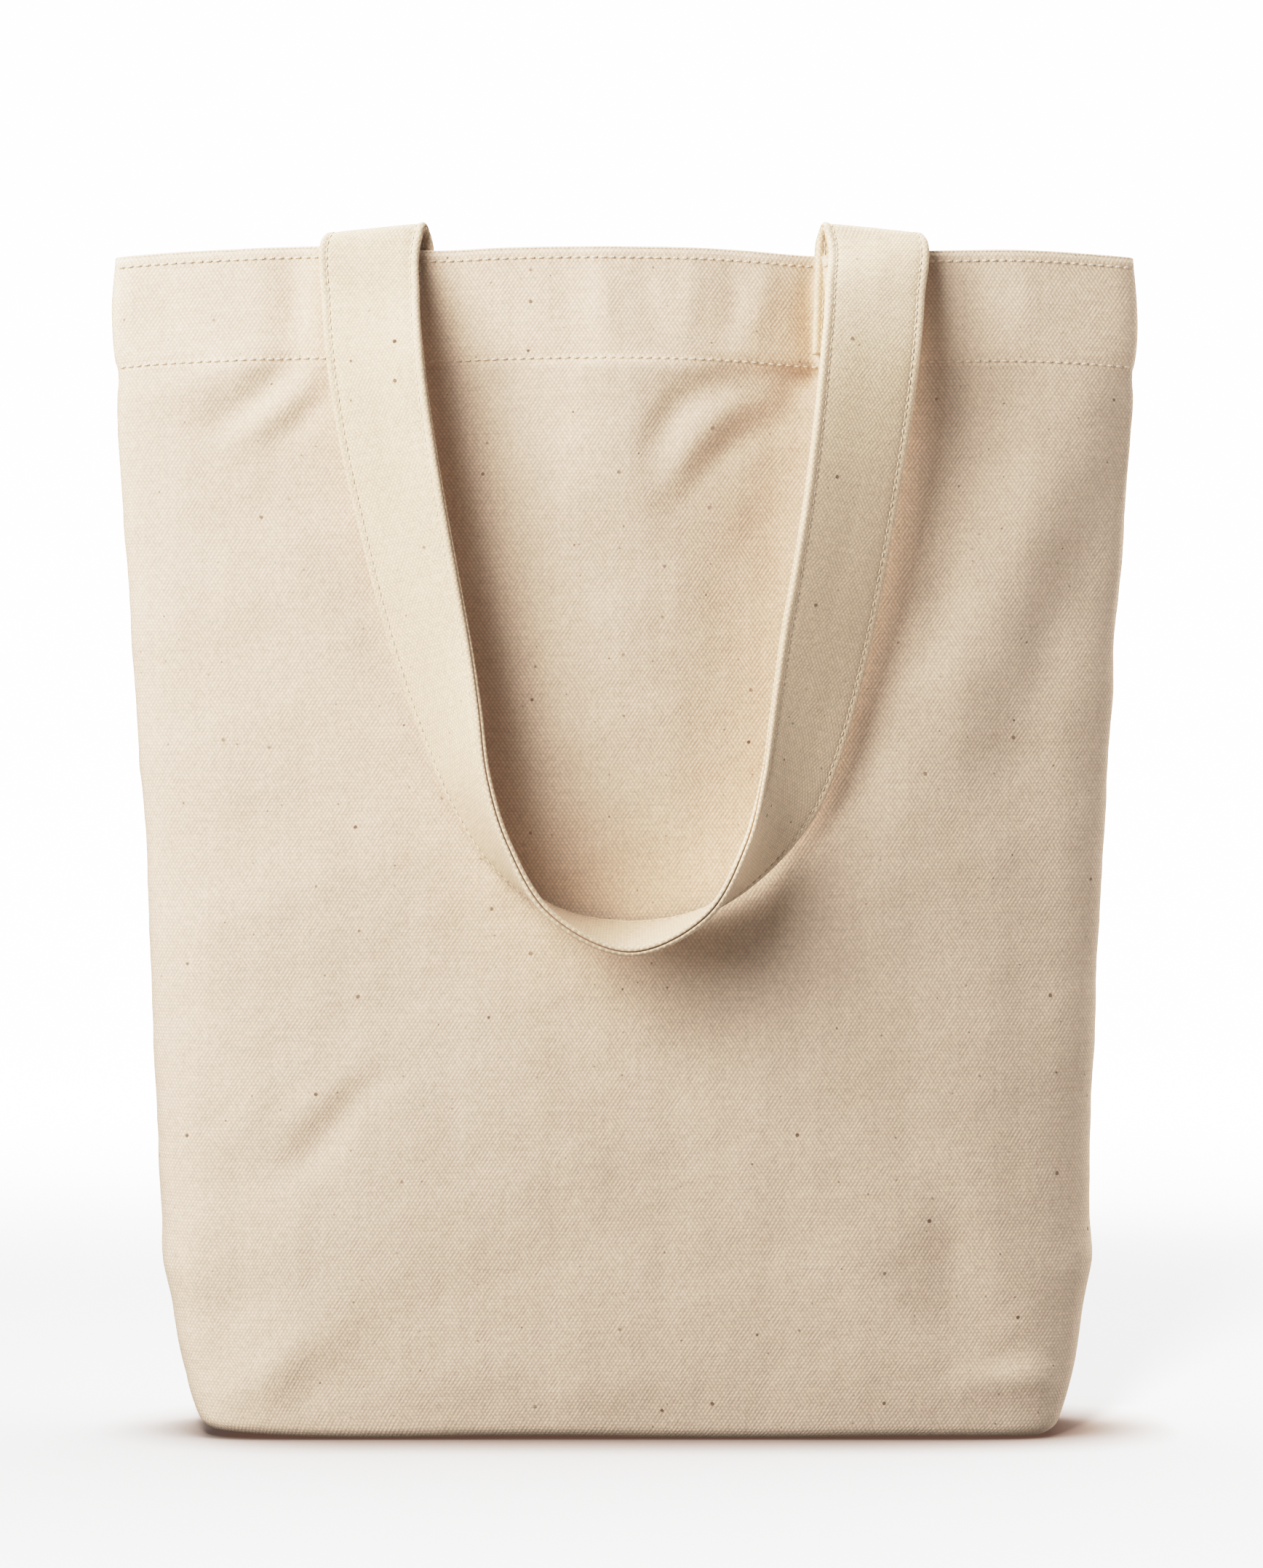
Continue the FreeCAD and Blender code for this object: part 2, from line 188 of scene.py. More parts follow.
def fold_field(x, z, folds):
    """How far the cloth stands out of its smooth outline, from each fold's ridge or valley."""
    total = np.zeros_like(x)
    for points, width, height in folds:
        points = np.array(points, float)
        at = np.linspace(0, len(points) - 1, 60)
        line = [smooth(at, list(enumerate(points[:, k]))) for k in (0, 1)]
        away = np.hypot(x[..., None] - line[0], z[..., None] - line[1])
        nearest = away.argmin(axis=-1)
        taper = np.sin(math.pi * (0.08 + 0.84 * nearest / 59)) ** 0.8
        total += height * taper * bell(away.min(axis=-1), width)
    return total


def wall_points(columns, rows, folds, seed, lobe, tucked):
    """The wall's outer face as a grid of points, seen with the wall facing -Y, and how far along the cloth
    each point is. Rows run from under the bag up to the hem's edge. tucked is -1 or 1 for the side whose
    bottom corner is pushed in further."""
    share = np.linspace(-1, 1, columns)
    under = math.pi / 2 - np.linspace(0, math.pi / 2, 9)[:-1]
    heights = np.concatenate([ROLL * (1 - np.sin(under)), np.linspace(ROLL, HEM_Z, rows)])
    inset = np.zeros(len(heights))
    inset[:len(under)] = ROLL * (1 - np.cos(under))
    along = np.zeros(len(heights))
    along[1:] = np.cumsum(np.hypot(np.diff(heights), np.diff(inset)))
    along += HEM_Z - along[-1]

    points = np.zeros((len(heights), columns, 3))
    for i, z in enumerate(heights):
        x, y = outline(z, share)
        points[i, :, 0], points[i, :, 1], points[i, :, 2] = x, y, z
    normal = face_normals(points)

    x, z = points[..., 0], points[..., 2]
    cloth_x = share * HALF_CLOTH + 0 * x
    to_seam = HALF_CLOTH - np.abs(cloth_x)
    out = fold_field(x, z, folds)
    out += 0.55 * waves(x, z, seed, 95) + 0.22 * waves(x, z, seed + 1, 34)
    out += 0.05 * waves(x, z, seed + 2, 11)
    out *= step(0, 18, z) * 0.85 + 0.15
    out -= 1.6 * np.clip(1 - z / 40, 0, 1) ** 2 * bell(x, 120)
    # the handles' ends, sewn in behind the hem, hold it flat
    held = step(70, 77, np.abs(x)) * (1 - step(105, 112, np.abs(x))) * step(386, 396, z)
    out *= 1 - held
    # the hem is stiffer than the cloth below it, and stands a little proud down to its lower row
    in_hem = step(HEM_Z - HEM_H - 2.5, HEM_Z - HEM_H + 2.5, z)
    out = out * (1 - 0.45 * in_hem) + 0.55 * in_hem
    out -= 0.4 * bell(z - (HEM_Z - HEM_H + 0.8), 1.5)
    out -= 0.25 * bell(z - (HEM_Z - 3.2), 0.9)
    # the side seam draws the cloth in, most of all where the hem is sewn across it
    seam_pull = 1.6 + 2.6 * step(380, 400, z)
    out -= seam_pull * bell(to_seam, 3.2)
    out -= 1.3 * bell(to_seam, 12) * bell(z - (HEM_Z - HEM_H - 2), 7)
    out += lobe(x, z, to_seam)
    # the fold that the boxed corner leaves at the top of the gusset
    out += 1.6 * bell(z - 66 + 0.25 * to_seam, 9) * bell(to_seam - 8, 22)
    calm_edge = step(0, 5, to_seam)
    out = out * calm_edge - seam_pull * (1 - calm_edge)
    points += normal * out[..., None]
    # the bottom corners lift a little off the floor, and the lower edge is not quite straight
    low = 1 - step(2, 46, z)
    lift = (0.8 + 0.8 * np.sign(x * tucked)) * corner_share(x)
    points[..., 2] += low * (0.9 + lift + 0.3 * np.sin(x / 23 + seed))
    points -= levelled(normal) * inset[:, None, None]
    points[..., 0] -= tucked * TUCK * step(110, 150, x * tucked) * (1 - step(48, 110, z))
    return points, cloth_x, along[:, None] + 0 * x


def corner_share(x):
    """0 along the middle of the bottom edge, rising to 1 at its corners."""
    return np.clip((np.abs(x) - 90) / 62, 0, 1) ** 1.6


def levelled(normal):
    """The outward direction with its upward part removed."""
    level = normal * np.array([1, 1, 0])
    return level / np.maximum(np.linalg.norm(level, axis=-1, keepdims=True), 1e-9)


def face_normals(points):
    """Outward unit normals of a grid whose rows go up and whose columns go right, seen from outside."""
    du = np.gradient(points, axis=1)
    dv = np.gradient(points, axis=0)
    normal = np.cross(du, dv)
    return normal / np.maximum(np.linalg.norm(normal, axis=-1, keepdims=True), 1e-9)


# ---------------------------------------------------------------- meshes

def new_mesh(name, vertices, faces, uv, material):
    """An object from points in millimetres. uv holds a (u, v) in millimetres for each vertex, or is None."""
    mesh = bpy.data.meshes.new(name)
    mesh.from_pydata((np.asarray(vertices) * MM).tolist(), [], [list(map(int, f)) for f in faces])
    if uv is not None:
        layer = mesh.uv_layers.new(name="UVMap")
        corner = np.zeros(len(mesh.loops), int)
        mesh.loops.foreach_get("vertex_index", corner)
        layer.data.foreach_set("uv", (np.asarray(uv)[corner] * MM).ravel())
    mesh.polygons.foreach_set("use_smooth", [True] * len(mesh.polygons))
    mesh.materials.append(material)
    mesh.update()
    made = bpy.data.objects.new(name, mesh)
    bpy.context.scene.collection.objects.link(made)
    return made


def grid_faces(rows, columns, start=0, turned=False):
    """Quads of a grid of points that are numbered from start; turned faces look the other way."""
    at = start + np.arange(rows * columns).reshape(rows, columns)
    quads = np.stack([at[:-1, :-1], at[:-1, 1:], at[1:, 1:], at[1:, :-1]], axis=-1).reshape(-1, 4)
    return quads[:, ::-1] if turned else quads


def cloth_piece(name, points, u, v, material, thickness=CLOTH_T):
    """A closed sheet: the outer face as given, an inner face thickness behind it, and a rim."""
    rows, columns = points.shape[:2]
    inner = points - face_normals(points) * thickness
    vertices = np.concatenate([points.reshape(-1, 3), inner.reshape(-1, 3)])
    uv = np.stack([u.ravel(), v.ravel()], axis=-1)
    uv = np.concatenate([uv, uv])
    faces = [grid_faces(rows, columns), grid_faces(rows, columns, rows * columns, turned=True)]
    at = np.arange(rows * columns).reshape(rows, columns)
    rim = np.concatenate([at[0, :], at[1:, -1], at[-1, -2::-1], at[-2:0:-1, 0]])
    after = np.roll(rim, -1)
    back = rows * columns
    faces.append(np.stack([rim, rim + back, after + back, after], axis=-1))
    return new_mesh(name, vertices, np.concatenate(faces), uv, material)


def tube_along(name, rings, uv, material):
    """A closed skin over rings of points, each ring going the same way round."""
    count, around = rings.shape[:2]
    at = np.arange(count * around).reshape(count, around)
    beside = np.roll(at, -1, axis=1)
    faces = np.stack([at[:-1], beside[:-1], beside[1:], at[1:]], axis=-1).reshape(-1, 4).tolist()
    faces += [at[0, ::-1].tolist(), at[-1].tolist()]
    return new_mesh(name, rings.reshape(-1, 3), faces, uv.reshape(-1, 2), material)


# ---------------------------------------------------------------- materials

class Nodes:
    """Short ways to add shader nodes and join them up."""

    def __init__(self, name):
        self.material = bpy.data.materials.new(name)
        self.material.use_nodes = True
        self.tree = self.material.node_tree
        self.shader = self.tree.nodes["Principled BSDF"]

    def put(self, socket, value):
        if isinstance(value, bpy.types.NodeSocket):
            self.tree.links.new(value, socket)
        else:
            socket.default_value = value

    def add(self, kind, output=0, settings=None, **inputs):
        node = self.tree.nodes.new(kind)
        for key, value in (settings or {}).items():
            setattr(node, key, value)
        for key, value in inputs.items():
            self.put(node.inputs[key.replace("_", " ")], value)
        return node.outputs[output]

    def math(self, operation, a, b=0.0, c=0.0):
        node = self.tree.nodes.new("ShaderNodeMath")
        node.operation = operation
        for socket, value in zip(node.inputs, (a, b, c)):
            self.put(socket, value)
        return node.outputs[0]

    def ramp(self, value, low, high, to_low=0.0, to_high=1.0):
        node = self.tree.nodes.new("ShaderNodeMapRange")
        node.interpolation_type = "SMOOTHSTEP"
        for socket, number in zip(node.inputs, (value, low, high, to_low, to_high)):
            self.put(socket, number)
        return node.outputs[0]

    def mix(self, share, a, b, blend="MIX"):
        node = self.tree.nodes.new("ShaderNodeMix")
        node.data_type = "RGBA"
        node.blend_type = blend
        for index, value in ((0, share), (6, a), (7, b)):
            self.put(node.inputs[index], value)
        return node.outputs[2]

    def noise(self, vector, scale, detail=2.0, roughness=0.5):
        return self.add("ShaderNodeTexNoise", Vector=vector, Scale=scale, Detail=detail, Roughness=roughness)


def stretched(nodes, vector, x, y, shift=0.0):
    """The vector with its first two parts scaled, for streaks along one set of threads."""
    return nodes.add("ShaderNodeMapping", Vector=vector, Location=(shift, shift * 1.7, 0), Scale=(x, y, 1))


FLECK = (0.16, 0.085, 0.04, 1)      # cotton seed
# Flecks come in two sizes: (cells per metre, share of cells left empty, least radius, spread, strength).
FLECK_SIZES = ((62.0, 0.84, 0.020, 0.028, 0.40), (190.0, 0.92, 0.040, 0.040, 0.16))


def canvas(name, colour, warp=0.76, weft=1.16, relief=0.14):
    """Plain-weave natural canvas. The threads are counted off the UV map, which is the flat cloth in metres.
    warp and weft are the spacings of the threads in millimetres, and relief is how deep the weave is."""
    n = Nodes(name)
    uv = n.add("ShaderNodeUVMap", settings={"uv_map": "UVMap"})
    place = n.add("ShaderNodeTexCoord", output=3)
    wander = n.add("ShaderNodeTexNoise", output=1, Vector=uv, Scale=55.0, Detail=2.0)
    pull = n.add("ShaderNodeVectorMath", settings={"operation": "MULTIPLY_ADD"})
    puller = pull.node
    n.put(puller.inputs[0], wander)
    puller.inputs[1].default_value = (0.0011, 0.0013, 0)
    n.put(puller.inputs[2], uv)
    parts = n.tree.nodes.new("ShaderNodeSeparateXYZ")
    n.put(parts.inputs[0], pull)
    across = n.math("MULTIPLY", parts.outputs[0], 1000 * math.pi / warp)
    up = n.math("MULTIPLY", parts.outputs[1], 1000 * math.pi / weft)
    # over-and-under is a checkerboard, so two sets of slanting lines; in places one set shows more
    lean = n.math("MULTIPLY_ADD", n.noise(uv, 170.0, 3.0), 1.3, -0.15)
    rising = n.math("MULTIPLY", n.math("COSINE", n.math("SUBTRACT", across, up)), lean)
    falling = n.math("MULTIPLY", n.math("COSINE", n.math("ADD", across, up)), n.math("SUBTRACT", 1.0, lean))
    rib = n.math("COSINE", n.math("MULTIPLY", up, 2.0))
    crossing = n.math("MULTIPLY_ADD", n.math("ADD", rising, falling), 0.42, 0.5)
    thread = n.math("MULTIPLY_ADD", rib, 0.13, crossing)

    # yarn that is thicker or thinner along its length, seen as streaks along the threads
    warp_streak = n.noise(stretched(n, uv, 1300, 40), 1.0, 2.0)
    weft_streak = n.noise(stretched(n, uv, 34, 830, 5.0), 1.0, 2.0)
    streak = n.math("MULTIPLY", n.math("ADD", warp_streak, weft_streak), 0.5)
    fuzz = n.noise(uv, 1900.0, 2.0, 0.6)
    slub = n.noise(uv, 480.0, 3.0, 0.65)
    patch = n.noise(uv, 26.0, 4.0, 0.6)
    cloud = n.noise(place, 6.0, 2.0)

    value = n.math("MULTIPLY_ADD", thread, 0.34, 0.79)
    value = n.math("MULTIPLY", value, n.math("MULTIPLY_ADD", streak, 0.20, 0.90))
    value = n.math("MULTIPLY", value, n.math("MULTIPLY_ADD", slub, 0.44, 0.78))
    value = n.math("MULTIPLY", value, n.math("MULTIPLY_ADD", fuzz, 0.18, 0.91))
    value = n.math("MULTIPLY", value, n.math("MULTIPLY_ADD", patch, 0.13, 0.935))
    value = n.math("MULTIPLY", value, n.math("MULTIPLY_ADD", cloud, 0.06, 0.97))
    # the hem is three layers of cloth, which lets less light through
    value = n.math("MULTIPLY", value, n.ramp(parts.outputs[1], 0.3905, 0.3930, 1.0, 1.09))
    tone = n.mix(patch, tuple(c * f for c, f in zip(colour, (1.0, 0.992, 0.965))) + (1,),
                 tuple(c * f for c, f in zip(colour, (0.992, 1.0, 1.01))) + (1,))
    shade = n.mix(1.0, tone, value, "MULTIPLY")

    # cotton-seed flecks, each in its own cell, and only in some cells: a few large ones and many specks
    for cells, share_left_out, least, spread, strength in FLECK_SIZES:
        cell = n.tree.nodes.new("ShaderNodeTexVoronoi")
        cell.voronoi_dimensions = "2D"
        n.put(cell.inputs["Vector"], uv)
        cell.inputs["Scale"].default_value = cells
        pick = n.tree.nodes.new("ShaderNodeSeparateXYZ")
        n.put(pick.inputs[0], cell.outputs["Color"])
        radius = n.math("MULTIPLY_ADD", pick.outputs[1], spread, least)
        ragged = n.math("ADD", cell.outputs["Distance"], n.math("MULTIPLY_ADD", fuzz, 0.02, -0.01))
        spot = n.ramp(n.math("SUBTRACT", ragged, radius), -0.010, 0.010, 1.0, 0.0)
        chosen = n.math("GREATER_THAN", pick.outputs[0], share_left_out)
        spot = n.math("MULTIPLY", spot, chosen)
        strength = n.math("MULTIPLY_ADD", pick.outputs[2], 0.4, strength)
        shade = n.mix(n.math("MULTIPLY", spot, strength), shade, FLECK)
    n.put(n.shader.inputs["Base Color"], shade)

    relief_height = n.math("ADD", thread, n.math("MULTIPLY", streak, 0.5))
    relief_height = n.math("ADD", relief_height, n.math("MULTIPLY", fuzz, 0.25))
    fine = n.add("ShaderNodeBump", Height=relief_height, Distance=relief * MM, Strength=0.9)
    soft = n.noise(uv, 95.0, 3.0, 0.55)
    broad = n.add("ShaderNodeBump", Height=soft, Distance=0.9 * MM, Strength=0.35, Normal=fine)
    n.put(n.shader.inputs["Normal"], broad)
    n.shader.inputs["Roughness"].default_value = 0.93
    n.shader.inputs["Specular IOR Level"].default_value = 0.18
    n.shader.inputs["Sheen Weight"].default_value = 0.12
    n.shader.inputs["Sheen Roughness"].default_value = 0.55
    return n.material


def thread_material(name, colour):
    """Two-ply sewing thread: a fine twist along it."""
    n = Nodes(name)
    uv = n.add("ShaderNodeUVMap", settings={"uv_map": "UVMap"})
    parts = n.tree.nodes.new("ShaderNodeSeparateXYZ")
    n.put(parts.inputs[0], uv)
    twist = n.math("SINE", n.math("ADD", n.math("MULTIPLY", parts.outputs[0], 9000.0),
                                  n.math("MULTIPLY", parts.outputs[1], 6000.0)))
    speckle = n.noise(uv, 900.0, 2.0)
    value = n.math("MULTIPLY_ADD", twist, 0.05, n.math("MULTIPLY_ADD", speckle, 0.16, 0.86))
    n.put(n.shader.inputs["Base Color"], n.mix(1.0, colour + (1,), value, "MULTIPLY"))
    bump = n.add("ShaderNodeBump", Height=twist, Distance=0.05 * MM, Strength=0.8)
    n.put(n.shader.inputs["Normal"], bump)
    n.shader.inputs["Roughness"].default_value = 0.8
    n.shader.inputs["Sheen Weight"].default_value = 0.15
    return n.material


CANVAS = canvas("natural_canvas", (0.80, 0.65, 0.527))
STRAP = canvas("handle_canvas", (0.815, 0.66, 0.515), warp=0.74, weft=1.12, relief=0.13)
THREAD = thread_material("natural_thread", (0.90, 0.775, 0.64))


# ---------------------------------------------------------------- stitches

def stitches(name, runs, material, length=2.6, radius=0.44, pitch=STITCH):
    """Rows of single stitches. Each run is (points, outward directions) sampled along a line on the cloth."""
    around, along = 6, 5
    # along the stitch: how far from its middle, how wide it is there and how high it lies
    profile = np.array([(-0.5, 0.25, -0.9), (-0.34, 0.85, -0.15), (0.0, 1.0, 0.15),
                        (0.34, 0.85, -0.15), (0.5, 0.25, -0.9)])
    vertices, faces, uv = [], [], []
    rng = np.random.RandomState(len(name))
    for points, outward in runs:
        run = np.concatenate([[0], np.cumsum(np.linalg.norm(np.diff(points, axis=0), axis=1))])
        count = max(1, int(run[-1] / pitch))
        gap = run[-1] / count
        for k in range(count):
            middle_at = (k + 0.5) * gap
            ends = [np.array([np.interp(middle_at + d, run, points[:, c]) for c in range(3)])
                    for d in (-gap / 2, 0, gap / 2)]
            up = np.array([np.interp(middle_at, run, outward[:, c]) for c in range(3)])
            up /= np.linalg.norm(up)
            forward = ends[2] - ends[0]
            forward -= up * forward.dot(up)
            forward /= np.linalg.norm(forward)
            side = np.cross(up, forward)
            forward = forward + side * rng.uniform(-0.05, 0.05)
            long = length * rng.uniform(0.92, 1.05)
            base = sum(len(v) for v in vertices)
            ring = []
            for t, wide, lift in profile:
                centre = ends[1] + forward * t * long + up * radius * (0.45 + 0.8 * lift)
                for a in range(around):
                    angle = 2 * math.pi * a / around
                    ring.append(centre + (side * math.cos(angle) + up * math.sin(angle)) * radius * wide)
                    uv.append((middle_at + t * long, a * 0.25))
            vertices.append(np.array(ring))
            at = base + np.arange(around * along).reshape(along, around)
            beside = np.roll(at, -1, axis=1)
            faces += np.stack([at[:-1], beside[:-1], beside[1:], at[1:]], axis=-1).reshape(-1, 4).tolist()
            faces += [at[0, ::-1].tolist(), at[-1].tolist()]
    return new_mesh(name, np.concatenate(vertices), faces, np.array(uv), material)


def half_turn(points):
    return np.asarray(points) * BACK


# ---------------------------------------------------------------- both walls

COLUMNS, ROWS = 219, 213


def front_lobe(x, z, to_seam):
    """The front half swells a little beside the seam, at the hem."""
    return 0.9 * bell(to_seam - 9, 7) * bell(z - 416, 15)


def back_lobe(x, z, to_seam):
    """The back half swells past the front one beside the seam, on the bag's right."""
    right = 3.6 * (x < 0)
    return (0.9 + right) * bell(to_seam - 10, 8) * (bell(z - 412, 22) + 0.35 * bell(z - 330, 60))


def build_wall(face, folds, seed, lobe):
    """One wall's cloth, hem and stitching, and the cloth's points as they are with the wall facing -Y."""
    front = face == "front"
    turn = (lambda p: sagged(p, FRONT_SAG)) if front else (lambda p: half_turn(sagged(p, BACK_SAG)))
    flip, pattern = (1, 0) if front else (BACK, BACK_PATTERN)
    points, u, v = wall_points(COLUMNS, ROWS, folds, seed, lobe, -1 if front else 1)
    body = f"{face}_wall"
    made = {}

    cloth = cloth_piece(f"{face}_cloth", turn(points), u + pattern, v, CANVAS)
    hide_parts(f"{face}_panel", "left_gusset", "right_gusset")
    made["cloth"] = cloth

    # the hem: over the edge, down the inside, and its raw edge turned under
    normal = face_normals(points)
    outward = levelled(normal)
    top, top_out = points[-1], outward[-1]
    radius = CLOTH_T * 1.15
    roll = np.linspace(0, math.pi, 9)
    over = [top - top_out * radius * (1 - math.cos(a)) + np.array([0, 0, radius * math.sin(a)]) for a in roll]
    heights = HEM_Z - np.linspace(2, HEM_H, 20)
    inside = []
    for z in heights:
        row = np.array([[np.interp(z, points[:, c, 2], points[:, c, k]) for k in range(3)]
                        for c in range(COLUMNS)])
        out = np.array([[np.interp(z, points[:, c, 2], outward[:, c, k]) for k in range(3)]
                        for c in range(COLUMNS)])
        swell = 1.85 + 0.25 * math.sin((HEM_Z - z) / HEM_H * math.pi)
        inside.append(row - out * swell)
    tuck = [inside[-1] + out * 0.75 * (1 - math.cos(a)) / 2 - np.array([0, 0, 0.5 * math.sin(a)])
            for a in (1.2, 2.4, math.pi)]
    flap = np.array(over + inside + tuck)
    keep = slice(3, COLUMNS - 3)
    flap = flap[:, keep]
    run = np.concatenate([[0], np.cumsum(np.linalg.norm(np.diff(flap[:, COLUMNS // 2], axis=0), axis=1))])
    flap_v = (HEM_Z + run)[:, None] + 0 * flap[..., 0]
    flap_u = np.broadcast_to(u[-1, keep], flap_v.shape) + pattern
    hem = cloth_piece(f"{face}_hem_band", turn(flap), flap_u, flap_v, CANVAS, thickness=CLOTH_T * 0.85)
    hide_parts(f"{face}_hem")
    made["hem"] = hem

    def row_on(z_row):
        line = np.array([[np.interp(z_row, points[:, c, 2], points[:, c, k]) for k in range(3)]
                         for c in range(4, COLUMNS - 4)])
        out = np.array([[np.interp(z_row, points[:, c, 2], normal[:, c, k]) for k in range(3)]
                        for c in range(4, COLUMNS - 4)])
        return line, out

    for label, z_row in (("hem_top_stitch", HEM_Z - 3.2), ("hem_lower_stitch", HEM_Z - HEM_H + 0.8)):
        line, out = row_on(z_row)
        runs = [(turn(line), out * flip), (turn(line - out * 2.75), -out * flip)]
        rows = stitches(f"{face}_{label}_thread", runs, THREAD, pitch=3.3)
        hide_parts(f"{face}_{label}")
        made[label] = rows

    for side, sign in (("left", -1), ("right", 1)):
        # the box stitch with its cross, through the wall and the handle's end
        centre_x, z_mid, half_w, half_h = sign * 89.5, HEM_Z - HEM_H / 2 + 0.6, 14.5, 15.5
        corners = [(-1, -1), (1, -1), (1, 1), (-1, 1), (-1, -1), (1, 1)]
        runs = []
        for (x0, z0), (x1, z1) in list(zip(corners, corners[1:])) + [((-1, 1), (1, -1))]:
            t = np.linspace(0, 1, 24)
            xs = centre_x + half_w * (x0 + (x1 - x0) * t)
            zs = z_mid + half_h * (z0 + (z1 - z0) * t)
            line, out = on_surface(points, normal, xs, zs)
            runs.append((turn(line), out * flip))
            runs.append((turn(line - out * 5.6), -out * flip))
        node_side = side if front else {"left": "right", "right": "left"}[side]
        box = stitches(f"{face}_{node_side}_tail_thread", runs, THREAD)
        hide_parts(f"{face}_{node_side}_tail_stitch")
        made[f"box_{side}"] = box
    return made, points


def on_surface(points, normal, xs, zs):
    """Points of the wall's face and its normals at each (x, z)."""
    line, out = [], []
    for x, z in zip(xs, zs):
        row = int(np.abs(points[:, COLUMNS // 2, 2] - z).argmin())
        share = np.interp(x, points[row, :, 0], np.arange(COLUMNS))
        c = int(share)
        t = share - c
        p = points[row, c] * (1 - t) + points[row, min(c + 1, COLUMNS - 1)] * t
        line.append((x, p[1], z))
        out.append(normal[row, c])
    return np.array(line), np.array(out)


front, front_points = build_wall("front", FRONT_FOLDS, 3, front_lobe)
back, back_points = build_wall("back", BACK_FOLDS, 11, back_lobe)


# ---------------------------------------------------------------- bottom and seams

def bottom_grid(columns=150, rows=40):
    """The bottom cloth: it meets the turned-under foot of both walls."""
    pick = np.linspace(0, 1, columns)
    edges = []
    for foot in (front_points[0], half_turn(back_points[0])[::-1]):
        run = np.linspace(0, 1, len(foot))
        edges.append(np.array([np.interp(pick, run, foot[:, k]) for k in range(3)]).T)
    t = np.linspace(0, 1, rows)[:, None, None]
    return (edges[0][None] * (1 - t) + edges[1][None] * t)[::-1]


grid = bottom_grid()
grid[..., 2] = np.maximum(grid[..., 2], 0.0)
middle = 1 - np.abs(np.linspace(-1, 1, grid.shape[0]))[:, None] ** 4
grid[..., 2] *= 1 - middle * (1 - corner_share(grid[..., 0]))
bottom = cloth_piece("bottom_cloth", grid, grid[..., 0] + BOTTOM_PATTERN, grid[..., 1], CANVAS)
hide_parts("bottom_panel")
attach(bottom, "bag_base")


def seam_strip(name, path, inward, node, width=9.5, thickness=1.7):
    """A seam allowance: two raw edges sewn together, standing in along the path."""
    path = np.array(path, float)
    count = len(path)
    across = np.array([0.0, 0.15, 0.5, 0.85, 1.0])
    thick = np.array([1.0, 1.0, 1.0, 1.05, 0.8]) * thickness / 2
    rings, uv = [], []
    run = np.concatenate([[0], np.cumsum(np.linalg.norm(np.diff(path, axis=0), axis=1))])
    for i in range(count):
        tangent = path[min(i + 1, count - 1)] - path[max(i - 1, 0)]
        tangent /= np.linalg.norm(tangent)
        inn = np.array(inward, float)
        inn -= tangent * inn.dot(tangent)
        inn /= np.linalg.norm(inn)
        side = np.cross(tangent, inn)
        sway = 0.5 * math.sin(run[i] / 19) + 0.3 * math.sin(run[i] / 7.3)
        ring = []
        for s, order in ((1, range(5)), (-1, range(4, -1, -1))):
            for k in order:
                ring.append(path[i] + inn * across[k] * width + side * (s * thick[k] + sway * across[k] ** 2))
                uv.append((SEAM_PATTERN + across[k] * width + 30 * (s < 0), run[i]))
        rings.append(ring)
    piece = tube_along(name, np.array(rings), np.array(uv).reshape(count, 10, 2), CANVAS)
    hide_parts(node)
    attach(piece, "bag_base")


for side, sign in (("left", -1), ("right", 1)):
    heights = np.linspace(70, 388, 90)
    path = [(sign * (float(smooth(z, HALF_WIDTH)) - 2.4), 0.0, z) for z in heights]
    seam_strip(f"{side}_side_allowance", path, (-sign, 0, 0), f"{side}_side_seam")
    corner_x = 148.0 if side == "right" else 148.0 - TUCK
    path = [(sign * corner_x, y, 7.0) for y in np.linspace(-27, 27, 30)]
    seam_strip(f"{side}_corner_allowance", path, (-sign, 0, 0.06), f"{side}_corner_seam")


# ---------------------------------------------------------------- handles

# The strap's outer edge and inner edge, from the left leg round the U to the right leg. It lies within about
# two centimetres of the CAD's strap; where its edges come nearer than the strap's width, it gathers.
LOOP = np.array([
    ((-111.0, -16.1, 436.6), (-74.0, -16.1, 436.6)),
    ((-110.2, -23.5, 412.5), (-74.4, -28.5, 414.5)),
    ((-107.5, -29.0, 386.0), (-72.4, -39.5, 391.0)),
    ((-103.0, -30.0, 359.0), (-69.0, -43.0, 366.0)),
    ((-97.0, -29.5, 332.5), (-64.4, -46.5, 338.5)),
    ((-91.0, -28.0, 306.0), (-59.0, -48.5, 312.0)),
    ((-83.5, -26.2, 280.0), (-54.7, -50.8, 288.5)),
    ((-73.5, -26.5, 254.5), (-51.8, -54.8, 264.5)),
    ((-62.5, -27.6, 230.0), (-48.6, -60.5, 239.5)),
    ((-47.5, -28.8, 208.0), (-41.4, -64.3, 216.0)),
    ((-25.5, -29.7, 192.0), (-26.8, -66.6, 191.5)),
    ((2.3, -30.0, 187.0), (2.2, -65.6, 177.5)),
    ((29.5, -31.5, 191.5), (29.5, -66.6, 190.5)),
    ((52.6, -32.5, 206.5), (43.5, -58.3, 215.5)),
    ((71.0, -32.5, 229.0), (49.8, -48.8, 240.5)),
    ((81.0, -32.5, 255.0), (52.8, -47.5, 262.5)),
    ((88.0, -33.5, 281.5), (56.0, -49.5, 287.0)),
    ((94.3, -36.0, 308.0), (59.6, -52.5, 313.0)),
    ((99.3, -38.0, 334.5), (63.7, -53.5, 340.0)),
    ((103.9, -38.0, 361.5), (67.0, -51.0, 366.5)),
    ((107.6, -36.2, 388.0), (70.0, -45.5, 392.5)),
    ((110.2, -27.2, 413.5), (72.3, -34.5, 417.5)),
    ((111.2, -16.1, 436.6), (74.2, -16.1, 436.6)),
])
LEG_Y, TAIL_Y, BEND_Z = -16.1, -9.85, 437.0


